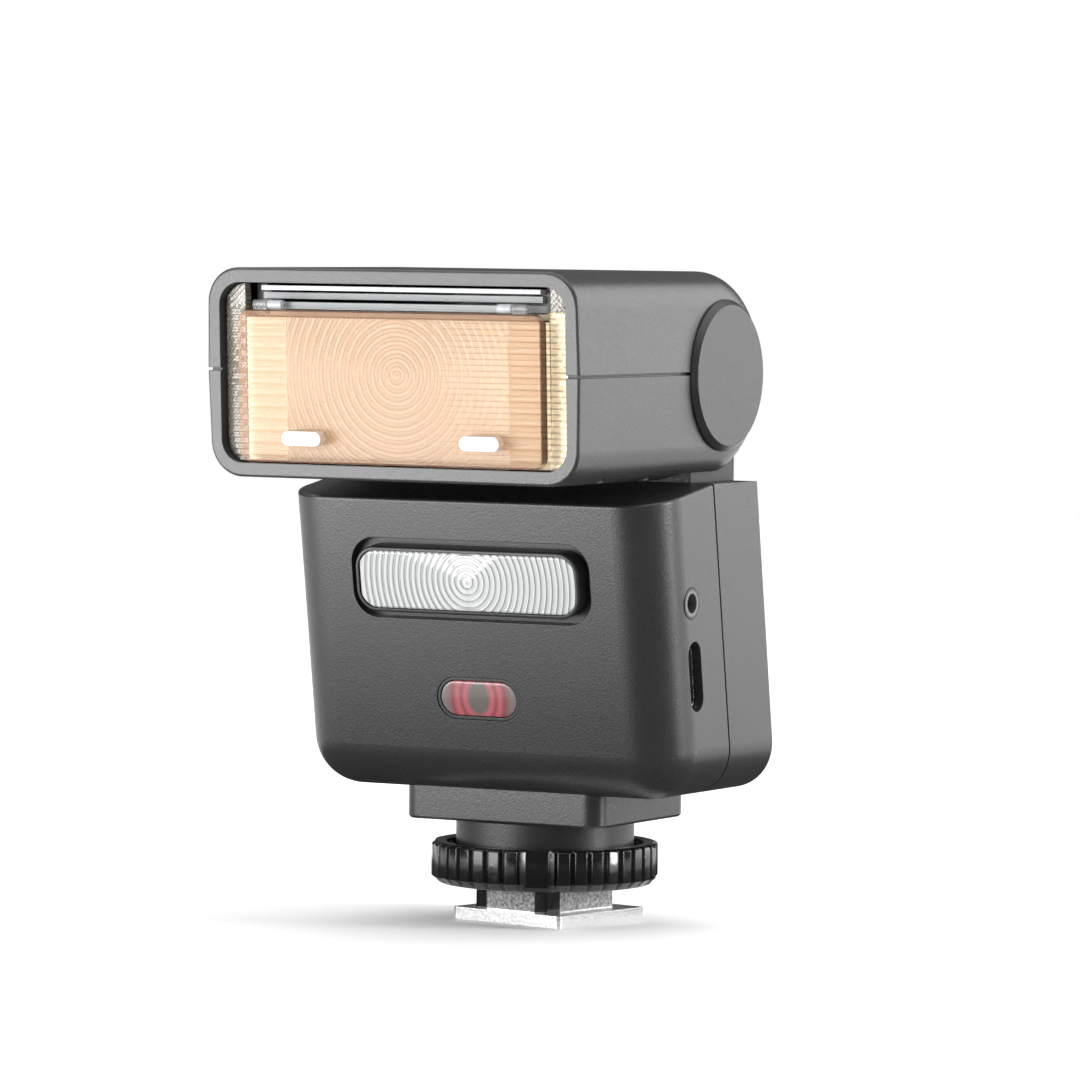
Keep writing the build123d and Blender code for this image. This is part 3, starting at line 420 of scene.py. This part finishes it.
NODE_FINISH = {
    "head": ["head_upper_shell", "head_lower_shell"],
    "body": ["front_casing", "rear_casing", "pedestal"],
    "cap": ["hinge_caps"],
    "tray": ["panel_tray"],
    "jack": ["sync_jack"],
    "neck": ["neck_drum"],
    "dark": ["swivel_collar", "led_tray", "led_frame", "af_bezel",
             "usb_tongue", "dial_encoder"],
    "gloss": ["contact_block", "flash_capacitor"],
    "control": ["control_dial", "set_button", "mode_button", "menu_button", "test_button", "power_switch"],
    "card": ["bounce_card"],
    "acetal": ["hinge_washers"],
    "foot": ["foot_plate"],
    "steel": ["clamp_plate", "lock_pin", "swivel_keeper", "pedestal_plate", "hinge_bushes"],
    "screw": ["collar_screws", "pedestal_screws", "neck_screws"],
    "gold": ["contact_pins"],
    "nickel": ["usb_socket"],
    "mirror": ["reflector"],
    "clear": ["filter_carrier", "diffuser_panel"],
    "faint": ["filter_lugs", "filter_hinge_pins"],
    "quartz": ["flash_tube"],
    "smoked": ["display_window"],
    "display": ["display_panel"],
    "board": ["led_board", "af_lamp", "port_board", "main_board", "trigger_board"],
    "battery": ["battery_pack"],
    "phosphor": ["led_emitters"],
    "amber": ["filter_plate"],
}
for finish, names in NODE_FINISH.items():
    for name in names:
        for holder in nodes[name].material_slots:
            holder.material = finishes[finish]


# ---- mesh helpers -----------------------------------------------------------------------------
def piece(name, verts, faces, finish, body, place=Matrix.Identity(4), sharp=35):
    """New smooth-shaded piece, placed in the frame and riding on a body."""
    mesh = bpy.data.meshes.new(name)
    mesh.from_pydata([place @ Vector(v) for v in verts], [], faces)
    mesh.validate()
    for polygon in mesh.polygons:
        polygon.use_smooth = True
    mesh.set_sharp_from_angle(angle=radians(sharp))
    mesh.materials.append(finishes[finish])
    obj = bpy.data.objects.new(name, mesh)
    bpy.context.scene.collection.objects.link(obj)
    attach(obj, body)
    return obj


def leaning(centre, lean, back=False):
    """Placement with local z along the outward normal of a leaning face and local x to its viewer's right."""
    side = -1 if back else 1
    normal = Vector((0, -side * cos(lean), -side * sin(lean)))
    across = Vector((side, 0, 0))
    up = normal.cross(across)
    rotation = Matrix((across, up, normal)).transposed().to_4x4()
    return Matrix.Translation(centre) @ rotation


def rounded_outline(width, height, radius, steps=10):
    """Points round a rounded rectangle, anticlockwise."""
    points = []
    for quarter in range(4):
        turn = quarter * pi / 2
        sx = 1 if quarter in (0, 3) else -1
        sy = 1 if quarter in (0, 1) else -1
        for step in range(steps + 1):
            angle = turn + step * pi / 2 / steps
            points.append((
                sx * (width / 2 - radius) + radius * cos(angle),
                sy * (height / 2 - radius) + radius * sin(angle),
            ))
    return points


def stacked(loops):
    """Closed mesh through loops of equal length, with flat ends."""
    count = len(loops[0])
    verts = [point for loop in loops for point in loop]
    faces = [list(reversed(range(count)))]
    for level in range(len(loops) - 1):
        for index in range(count):
            here, after = level * count + index, level * count + (index + 1) % count
            faces.append([here, after, after + count, here + count])
    faces.append(list(range((len(loops) - 1) * count, len(loops) * count)))
    return verts, faces


def cushion(width, height, radius, low, high, edge, crown=0.0, steps=10):
    """Rounded plate between two heights, with rolled edges and a slight crown."""
    rolls, rings, least = 4, 6, 0.01 * MM
    loops = [[(x, y, low) for x, y in rounded_outline(width, height, radius, steps)]]
    for step in range(rolls + 1):
        angle = step / rolls * pi / 2
        inset = edge * (1 - cos(angle))
        level = high - edge + edge * sin(angle)
        corner = max(radius - inset, least)
        outline = rounded_outline(width - 2 * inset, height - 2 * inset, corner, steps)
        loops.append([(x, y, level) for x, y in outline])
    for step in range(1, rings):
        inset = edge + (min(width, height) / 2 - edge) * step / rings
        corner = max(radius - inset, least)
        outline = rounded_outline(width - 2 * inset, height - 2 * inset, corner, steps)
        rise = crown * sin(step / rings * pi / 2)
        loops.append([(x, y, high + rise) for x, y in outline])
    return stacked(loops)


def ribbed(half, low_edge, high_edge, columns, rows, depth, height):
    """Closed slab whose front follows height(x, y); its lower and upper edges are functions of x."""
    verts, faces = [], []
    for column in range(columns + 1):
        x = -half + 2 * half * column / columns
        low, high = low_edge(x), high_edge(x)
        for row in range(rows + 1):
            y = low + (high - low) * row / rows
            verts.append((x, y, height(x, y)))
    stride = rows + 1
    for column in range(columns):
        for row in range(rows):
            start = column * stride + row
            faces.append([start, start + stride, start + stride + 1, start + 1])
    rim = [column * stride for column in range(columns + 1)]
    rim += [columns * stride + row for row in range(1, stride)]
    rim += [column * stride + rows for column in range(columns - 1, -1, -1)]
    rim += [row for row in range(rows - 1, 0, -1)]
    base = len(verts)
    verts += [(verts[i][0], verts[i][1], -depth) for i in rim]
    for index in range(len(rim)):
        after = (index + 1) % len(rim)
        faces.append([rim[after], rim[index], base + index, base + after])
    faces.append([base + index for index in reversed(range(len(rim)))])
    return verts, faces


def sawtooth(distance, pitch, depth):
    """Height of a lens facet: a slow slope down and a quick one back."""
    turn = 0.75
    phase = distance / pitch - floor(distance / pitch)
    return -depth * (phase / turn if phase < turn else (1 - phase) / (1 - turn))


# ---- lenses -----------------------------------------------------------------------------------
def rounded_limits(half_w, half_h, radius):
    """Upper edge of a rounded rectangle as a function of x."""
    def edge(x):
        over = abs(x) - (half_w - radius)
        if over <= 0:
            return half_h
        return half_h - radius + sqrt(max(radius * radius - over * over, 0))
    return edge


def light_lens():
    """Ribbed lens of the continuous light: facet rings round its centre."""
    centre = middle("led_lens")
    half_w, half_h, thick, corner = 16.25 * MM, 3.85 * MM, 1.75 * MM, 2.45 * MM
    facet, roll, side_roll, end_roll = 0.14 * MM, 0.25 * MM, 0.4 * MM, 0.5 * MM
    edge = rounded_limits(half_w, half_h, corner)

    def height(x, y):
        soft = min(1.0, (half_w - abs(x)) / end_roll, (edge(x) - abs(y)) / side_roll)
        return thick / 2 - roll * (1 - soft) ** 2 + soft * sawtooth(hypot(x, y), LIGHT_RING, facet)

    verts, faces = ribbed(half_w, lambda x: -edge(x), edge, 400, 90, thick / 2, height)
    obj = piece("light_lens_ribbed", verts, faces, "bright", "body", leaning(centre, BODY_LEAN))
    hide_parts("led_lens")


def flash_lens():
    """Ribbed lens of the flash: rings in the middle, straight ribs at the sides, pyramids above."""
    centre = middle("fresnel_lens")
    low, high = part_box("fresnel_lens")
    half_w, half_h, thick = high[0], (high[2] - low[2]) / 2 - 0.04 * MM, 1.4 * MM
    notch_half = 22.6 * MM
    notch_top = 81.05 * MM - centre[2]
    pyramids_from = 82.3 * MM - centre[2]
    pyramid_depth, ring_depth, band_depth = 0.12 * MM, 0.05 * MM, 0.18 * MM
    corner = rounded_limits(half_w, half_h, 2.9 * MM)

    def top(x):
        return notch_top if abs(x) < notch_half else corner(x)

    def height(x, y):
        if y > pyramids_from:
            rising = sawtooth(x + y, FLASH_PYRAMID, pyramid_depth)
            facet = rising + sawtooth(x - y, FLASH_PYRAMID, pyramid_depth)
        elif abs(x) < FLASH_RINGS_HALF:
            facet = sawtooth(hypot(x, y), FLASH_RING, ring_depth)
        else:
            facet = sawtooth(y, FLASH_BAND, band_depth)
        return thick / 2 + facet

    verts, faces = ribbed(half_w, lambda x: -corner(x), top, 300, 136, thick / 2, height)
    obj = piece("flash_lens_ribbed", verts, faces, "cream", "head", leaning(centre, BEZEL_LEAN))
    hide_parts("fresnel_lens")


def aiming_lens():
    """Red window with a rolled edge and a slight crown."""
    width, height, radius = 11.5 * MM, 4.7 * MM, 2.34 * MM
    back, front, edge, crown = -1.07 * MM, 1.0 * MM, 0.25 * MM, 0.05 * MM
    verts, faces = cushion(width, height, radius, back, front, edge, crown, 16)
    place = leaning(middle("af_window"), BODY_LEAN)
    obj = piece("aiming_window_crowned", verts, faces, "red", "body", place)
    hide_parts("af_window")


light_lens()
flash_lens()
aiming_lens()


# ---- filter grips -----------------------------------------------------------------------------
def filter_grips():
    """White grip pads of the filter, crowned, in place of their plain solids."""
    centre = middle("filter_pads")
    width, height, radius = 5.95 * MM, 1.95 * MM, 0.96 * MM
    back, front, edge, crown = -0.8 * MM, 0.6 * MM, 0.3 * MM, 0.12 * MM
    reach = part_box("filter_pads")[1][0] - width / 2
    verts, faces = [], []
    for side in (-1, 1):
        pad_verts, pad_faces = cushion(width, height, radius, back, front, edge, crown, 12)
        start = len(verts)
        verts += [(x + side * reach, y, z) for x, y, z in pad_verts]
        faces += [[index + start for index in face] for face in pad_faces]
    obj = piece("filter_grip_pads", verts, faces, "white", "filter", leaning(centre, BEZEL_LEAN))
    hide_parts("filter_pads")


filter_grips()


# ---- lock wheel -------------------------------------------------------------------------------
def grip_wheel():
    """Lock wheel with rounded grip ribs, four wide notches and its thin web.

    The notch wall and the groove's half width are in rib pitches.
    """
    low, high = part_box("lock_wheel")
    base, top, rim = low[2], high[2], high[1]
    ribs, per_rib, ribs_per_notch = 40, 26, 10
    count = ribs * per_rib
    first_angle = radians(-65)
    web_low, web_high, hub = 6.9 * MM, 9.3 * MM, 8.65 * MM
    notch_depth, groove_depth = 0.85 * MM, 0.5 * MM
    notch_wall, groove_half = 0.35, 0.16
    # Once round the section: radius, height, and the share of the cut depth taken there.
    profile = [
        (hub, web_low, 0), (12.9 * MM, web_low, 0), (12.9 * MM, base + 0.15 * MM, 0), (13.05 * MM, base, 0),
        (14.0 * MM, base, 0), (14.25 * MM, base + 0.1 * MM, 0), (14.75 * MM, base + 0.6 * MM, 0.3),
        (rim - 0.2 * MM, base + 0.85 * MM, 0.8), (rim - 0.02 * MM, base + 1.0 * MM, 1),
        (rim, base + 1.2 * MM, 1), (rim, top - 0.5 * MM, 1),
        (rim - 0.04 * MM, top - 0.32 * MM, 1), (rim - 0.2 * MM, top - 0.14 * MM, 0.8),
        (14.8 * MM, top - 0.03 * MM, 0.35), (14.4 * MM, top, 0), (13.4 * MM, top, 0),
        (13.22 * MM, top - 0.12 * MM, 0), (13.2 * MM, web_high, 0), (hub, web_high, 0),
    ]

    def groove(step):
        """Depth cut into the rim at a step round it: a wide notch every ten ribs, else a narrow groove."""
        turn = (step / per_rib) % ribs_per_notch
        to_notch = min(turn, ribs_per_notch - turn)
        if to_notch < 1.0:
            return notch_depth * min(1.0, max(0.0, (1.0 - to_notch) / notch_wall))
        across = abs(turn - round(turn))
        return groove_depth * max(0.0, 1 - across / groove_half) ** 0.6

    loops = []
    for radius, level, share in profile:
        loop = []
        for step in range(count):
            angle = first_angle + 2 * pi * step / count
            reach = radius - share * groove(step)
            loop.append((reach * cos(angle), reach * sin(angle), level))
        loops.append(loop)
    verts = [point for loop in loops for point in loop]
    faces = []
    for level in range(len(loops)):
        after_level = (level + 1) % len(loops)
        for index in range(count):
            after = (index + 1) % count
            faces.append([level * count + index, level * count + after, after_level * count + after,
                          after_level * count + index])
    obj = piece("lock_wheel_ribbed", verts, faces, "gloss", "wheel", sharp=40)
    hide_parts("lock_wheel")


grip_wheel()


# ---- screws with hexagon sockets --------------------------------------------------------------
def socket_screw(head_r, head_h, shank_r, length):
    """Screw along local z: shank, domed head and a hexagon socket."""
    steps = 36
    circle = [2 * pi * index / steps for index in range(steps)]

    def ring(radius, level):
        return [(radius * cos(a), radius * sin(a), level) for a in circle]

    def hexagon(radius, level):
        loop = []
        for a in circle:
            reach = radius * cos(pi / 6) / cos((a % (pi / 3)) - pi / 6)
            loop.append((reach * cos(a), reach * sin(a), level))
        return loop

    return stacked([
        ring(shank_r * 0.7, -length), ring(shank_r, -length + shank_r * 0.5), ring(shank_r, 0),
        ring(head_r, 0), ring(head_r, head_h * 0.55), ring(head_r * 0.93, head_h * 0.85),
        ring(head_r * 0.78, head_h), ring(head_r * 0.62, head_h), hexagon(head_r * 0.56, head_h),
        hexagon(head_r * 0.52, head_h * 0.9), hexagon(head_r * 0.50, head_h * 0.35),
    ])


def screws(name, node, places, sizes, body):
    """All screws of one node as one piece."""
    verts, faces = [], []
    for place in places:
        screw_verts, screw_faces = socket_screw(*sizes)
        start = len(verts)
        verts += [tuple(place @ Vector(v)) for v in screw_verts]
        faces += [[index + start for index in face] for face in screw_faces]
    obj = piece(name, verts, faces, "screw", body, sharp=30)
    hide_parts(node)


def casing_places(head_r):
    """Heads of the four casing screws, on the rear face."""
    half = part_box("casing_screws")[1][0] - head_r
    outward = Vector((0, cos(BODY_LEAN), sin(BODY_LEAN)))
    up = Vector((0, -sin(BODY_LEAN), cos(BODY_LEAN)))
    face = CASING_SCREW_ORIGIN - CASING_SCREW_SINK * outward
    spots = [(x, y) for x in (-half, half) for y in CASING_SCREW_HEIGHTS]
    return [leaning(face + up * y + Vector((x, 0, 0)), BODY_LEAN, back=True) for x, y in spots]


def head_places(head_r):
    """Heads of the four screws under the head."""
    low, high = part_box("head_screws")
    half = high[0] - head_r
    flip = Matrix.Rotation(pi, 4, "X")
    seat = low[2] + HEAD_SCREW_SEAT
    spots = [(x, y) for x in (-half, half) for y in (low[1] + head_r, high[1] - head_r)]
    return [Matrix.Translation((x, y, seat)) @ flip for x, y in spots]


# Head radius, head height, shank radius and shank length.
CASING_SCREW = (1.7 * MM, 1.0 * MM, 0.9 * MM, 16 * MM)
HEAD_SCREW = (1.3 * MM, 0.9 * MM, 0.7 * MM, 18 * MM)
screws("casing_screws_socketed", "casing_screws", casing_places(CASING_SCREW[0]), CASING_SCREW, "body")
screws("head_screws_socketed", "head_screws", head_places(HEAD_SCREW[0]), HEAD_SCREW, "head")


# ---- marks on the back ------------------------------------------------------------------------
def marks(name, shapes, finish, body, place, low, high):
    """Thin raised marks: each shape is a list of points on the local plane, in millimetres."""
    verts, faces = [], []
    for points in shapes:
        start = len(verts)
        count = len(points)
        for level in (low, high):
            verts += [(x * MM, y * MM, level * MM) for x, y in points]
        faces.append([start + index for index in reversed(range(count))])
        faces.append([start + count + index for index in range(count)])
        for index in range(count):
            after = (index + 1) % count
            faces.append([start + index, start + after, start + count + after, start + count + index])
    return piece(name, verts, faces, finish, body, place, sharp=20)


def bar(x0, y0, x1, y1):
    """Rectangle as four points."""
    return [(x0, y0), (x1, y0), (x1, y1), (x0, y1)]


def circle(x, y, radius, count):
    """Circle as points."""
    turns = [2 * pi * i / count for i in range(count)]
    return [(x + radius * cos(turn), y + radius * sin(turn)) for turn in turns]


def display_marks():
    """Level bars over a base line, a battery sign and a bolt inside the display window."""
    place = leaning(middle("display_window"), BODY_LEAN, back=True)
    starts = [(-14 + 2.0 * i, 0.5 + 0.28 * i) for i in range(15)]
    shapes = [bar(x, -4.6, x + 1.3, -4.6 + rise) for x, rise in starts]
    shapes += [bar(-14.2, -5.4, 15.3, -5.15)]
    shapes += [bar(10.0, 3.4, 14.4, 5.4), bar(14.4, 4.0, 14.9, 4.8)]
    shapes += [[(-13.2, 3.2), (-11.2, 5.6), (-11.8, 4.6), (-10.4, 4.6), (-12.4, 2.2), (-11.9, 3.2)]]
    marks("display_segments", shapes, "segment", "body", place, -0.66, -0.6)


def key_marks():
    """Signs moulded on the keys: three bars, a ring of dots and a bolt."""
    foot_level, top_level = 1.13, 1.19
    bars = [bar(-1.2, -0.9 + 0.7 * i, 1.2, -0.6 + 0.7 * i) for i in range(3)]
    dots = [circle(1.1 * cos(i * pi / 3), 1.1 * sin(i * pi / 3), 0.22, 14) for i in range(6)]
    bolt = [[(0.35, 1.4), (-0.75, -0.15), (-0.05, -0.15), (-0.35, -1.4), (0.75, 0.15), (0.05, 0.15)]]
    for name, shapes, body in (("menu_key_bars", bars, "menu"), ("mode_key_dots", dots, "mode"),
                               ("test_key_bolt", bolt, "test")):
        place = leaning(middle(body + "_button"), BODY_LEAN, back=True)
        marks(name, shapes, "white", body, place, foot_level, top_level)


display_marks()
key_marks()


# ---- floor, light and camera ------------------------------------------------------------------
def backdrop():
    """Wide pale paper floor."""
    mat, tree, bsdf = shader("backdrop_paper", (0.88, 0.88, 0.88), 0.95)
    bsdf.inputs["Specular IOR Level"].default_value = 0.0
    paper = noise(tree, coordinates(tree), 3, 2)
    ramp(tree, paper, mottled((0.875, 0.875, 0.875), (0.885, 0.885, 0.885)), bsdf.inputs["Base Color"])
    reach, steps = 1200 * MM, 96
    rim = [(x, y, 0) for x, y in circle(0, 0, reach, steps)]
    mesh = bpy.data.meshes.new("backdrop")
    mesh.from_pydata(rim, [], [list(range(steps))])
    mesh.materials.append(mat)
    obj = bpy.data.objects.new("backdrop", mesh)
    bpy.context.scene.collection.objects.link(obj)


def flag():
    """Dark card round the foot and out to the front right, met only by reflected rays."""
    mat, tree, bsdf = shader("flag_felt", (0.02, 0.02, 0.02), 0.9)
    relief(tree, bsdf, noise(tree, coordinates(tree), 800, 2), 0.2 * MM, 0.5)
    inner, near, far, level, steps = 22 * MM, 105 * MM, 600 * MM, 0.05 * MM, 90
    wedge = radians(86)

    def ring(reach):
        turns = [2 * pi * step / steps for step in range(steps)]
        return [(reach(turn) * sin(turn), -reach(turn) * cos(turn), level) for turn in turns]

    def outer(turn):
        return far if 0 < turn < wedge else near

    faces = [[i, steps + i, steps + (i + 1) % steps, (i + 1) % steps] for i in range(steps)]
    mesh = bpy.data.meshes.new("flag")
    mesh.from_pydata(ring(lambda turn: inner) + ring(outer), [], faces)
    mesh.materials.append(mat)
    obj = bpy.data.objects.new("flag", mesh)
    obj.visible_camera = False
    obj.visible_shadow = False
    obj.visible_diffuse = False
    bpy.context.scene.collection.objects.link(obj)


def softbox(name, place, target, width, height, power):
    """Rectangular area light aimed at a point."""
    lamp = bpy.data.lights.new(name, "AREA")
    lamp.shape = "RECTANGLE"
    lamp.size = width
    lamp.size_y = height
    lamp.energy = power
    obj = bpy.data.objects.new(name, lamp)
    obj.location = place
    obj.rotation_euler = (Vector(target) - Vector(place)).to_track_quat("-Z", "Y").to_euler()
    bpy.context.scene.collection.objects.link(obj)


def surround():
    """White surround, dimmer as a light than as a background."""
    world = bpy.data.worlds.new("studio")
    bpy.context.scene.world = world
    world.use_nodes = True
    tree = world.node_tree
    lit = tree.nodes["Background"]
    lit.inputs["Color"].default_value = (1, 1, 1, 1)
    lit.inputs["Strength"].default_value = 0.1
    seen = tree.nodes.new("ShaderNodeBackground")
    seen.inputs["Color"].default_value = (1, 1, 1, 1)
    seen.inputs["Strength"].default_value = 1.0
    path = tree.nodes.new("ShaderNodeLightPath")
    mix = tree.nodes.new("ShaderNodeMixShader")
    tree.links.new(path.outputs["Is Camera Ray"], mix.inputs["Fac"])
    tree.links.new(lit.outputs["Background"], mix.inputs[1])
    tree.links.new(seen.outputs["Background"], mix.inputs[2])
    tree.links.new(mix.outputs["Shader"], tree.nodes["World Output"].inputs["Surface"])


def lights():
    """Soft overhead light, three softboxes round the object and a low one lying in front."""
    overhead = bpy.data.lights.new("overhead", "SUN")
    overhead.energy = 3.4
    overhead.angle = radians(100)
    lamp = bpy.data.objects.new("overhead", overhead)
    bpy.context.scene.collection.objects.link(lamp)
    aim = (0, -0.01, 0.05)
    softbox("key", (-0.69, -1.05, 0.26), aim, 1.0, 0.5, 13)
    softbox("side", (0.62, 1.02, 0.36), aim, 0.9, 0.9, 8.5)
    softbox("strip", (0.90, 0.20, 0.22), aim, 0.16, 0.6, 9)
    softbox("low_fill", (-0.27, -0.48, 0.004), (-0.27, -0.48, 1.0), 0.40, 0.60, 9.0)


def camera():
    """Camera to the right of the front and a little above it."""
    place = (0.42030, -0.76054, 0.09370)
    turn, tip, roll = radians(29), radians(2.80), 0.0108
    right = Vector((cos(turn), sin(turn), 0))
    ahead = Vector((-sin(turn), cos(turn), 0))
    forward = ahead * cos(tip) - Vector((0, 0, 1)) * sin(tip)
    up = ahead * sin(tip) + Vector((0, 0, 1)) * cos(tip)
    across = right * cos(roll) + up * sin(roll)
    over = up * cos(roll) - right * sin(roll)
    data = bpy.data.cameras.new("camera")
    data.lens = 216.67
    data.sensor_width = 36
    data.clip_start = 0.05
    data.clip_end = 50
    obj = bpy.data.objects.new("camera", data)
    rotation = Matrix((across, over, -forward)).transposed().to_4x4()
    obj.matrix_world = Matrix.Translation(place) @ rotation
    bpy.context.scene.collection.objects.link(obj)
    bpy.context.scene.camera = obj


bpy.context.scene.view_settings.view_transform = "Standard"
backdrop()
flag()
surround()
lights()
camera()
